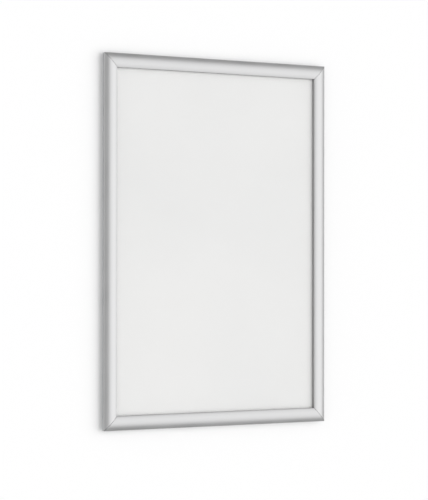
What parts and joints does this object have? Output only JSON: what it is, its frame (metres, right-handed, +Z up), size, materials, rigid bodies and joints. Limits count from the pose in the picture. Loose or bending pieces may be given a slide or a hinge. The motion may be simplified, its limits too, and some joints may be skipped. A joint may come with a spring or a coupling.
{
  "type": "poster snap frame",
  "caption": "Wall-mounted snap frame for posters: four mitred rounded aluminium rails that hinge outwards, over a clear cover, an insert and a back panel.",
  "frame": {"origin": "centre of the wall plane, which is the centre of the four wall screw holes", "axes": "+Z up, +X to the right as seen from the front, -Y out of the front; the wall is the plane Y = 0"},
  "size_m": [0.45, 0.01, 0.624],
  "materials": {
    "snap_rail_finish": "satin silver anodised",
    "base_rail_finish": "mill finish",
    "key_steel": "zinc plated",
    "screw_steel": "blackened",
    "spring_steel": "spring steel",
    "panel_plastic": "matte white polystyrene",
    "poster_paper": "uncoated white paper",
    "clear_plastic": "clear, low glare"
  },
  "bodies": {
    "frame_base": {"back_panel": "panel_plastic", "base_rail_bottom": "base_rail_finish", "base_rail_left": "base_rail_finish", "base_rail_right": "base_rail_finish", "base_rail_top": "base_rail_finish", "corner_key_bottom_left": "key_steel", "corner_key_bottom_right": "key_steel", "corner_key_top_left": "key_steel", "corner_key_top_right": "key_steel", "cover_sheet": "clear_plastic", "key_screws_bottom_left": "screw_steel", "key_screws_bottom_right": "screw_steel", "key_screws_top_left": "screw_steel", "key_screws_top_right": "screw_steel", "leaf_spring_bottom_1": "spring_steel", "leaf_spring_bottom_2": "spring_steel", "leaf_spring_left_1": "spring_steel", "leaf_spring_left_2": "spring_steel", "leaf_spring_left_3": "spring_steel", "leaf_spring_right_1": "spring_steel", "leaf_spring_right_2": "spring_steel", "leaf_spring_right_3": "spring_steel", "leaf_spring_top_1": "spring_steel", "leaf_spring_top_2": "spring_steel", "poster": "poster_paper"},
    "top_rail": {"snap_rail_top": "snap_rail_finish"},
    "bottom_rail": {"snap_rail_bottom": "snap_rail_finish"},
    "left_rail": {"snap_rail_left": "snap_rail_finish"},
    "right_rail": {"snap_rail_right": "snap_rail_finish"}
  },
  "joints": [
    {"name": "top_rail_hinge", "type": "hinge", "parent": "frame_base", "child": "top_rail", "pos_m": [0, -0.0039, 0.3097], "axis": [-1, 0, 0], "range_deg": [0, 90], "deforming": ["leaf_spring_top_1", "leaf_spring_top_2"]},
    {"name": "bottom_rail_hinge", "type": "hinge", "parent": "frame_base", "child": "bottom_rail", "pos_m": [0, -0.0039, -0.3097], "axis": [1, 0, 0], "range_deg": [0, 90], "deforming": ["leaf_spring_bottom_1", "leaf_spring_bottom_2"]},
    {"name": "left_rail_hinge", "type": "hinge", "parent": "frame_base", "child": "left_rail", "pos_m": [-0.2227, -0.0039, 0], "axis": [0, 0, -1], "range_deg": [0, 90], "deforming": ["leaf_spring_left_1", "leaf_spring_left_2", "leaf_spring_left_3"]},
    {"name": "right_rail_hinge", "type": "hinge", "parent": "frame_base", "child": "right_rail", "pos_m": [0.2227, -0.0039, 0], "axis": [0, 0, 1], "range_deg": [0, 90], "deforming": ["leaf_spring_right_1", "leaf_spring_right_2", "leaf_spring_right_3"]}
  ]
}
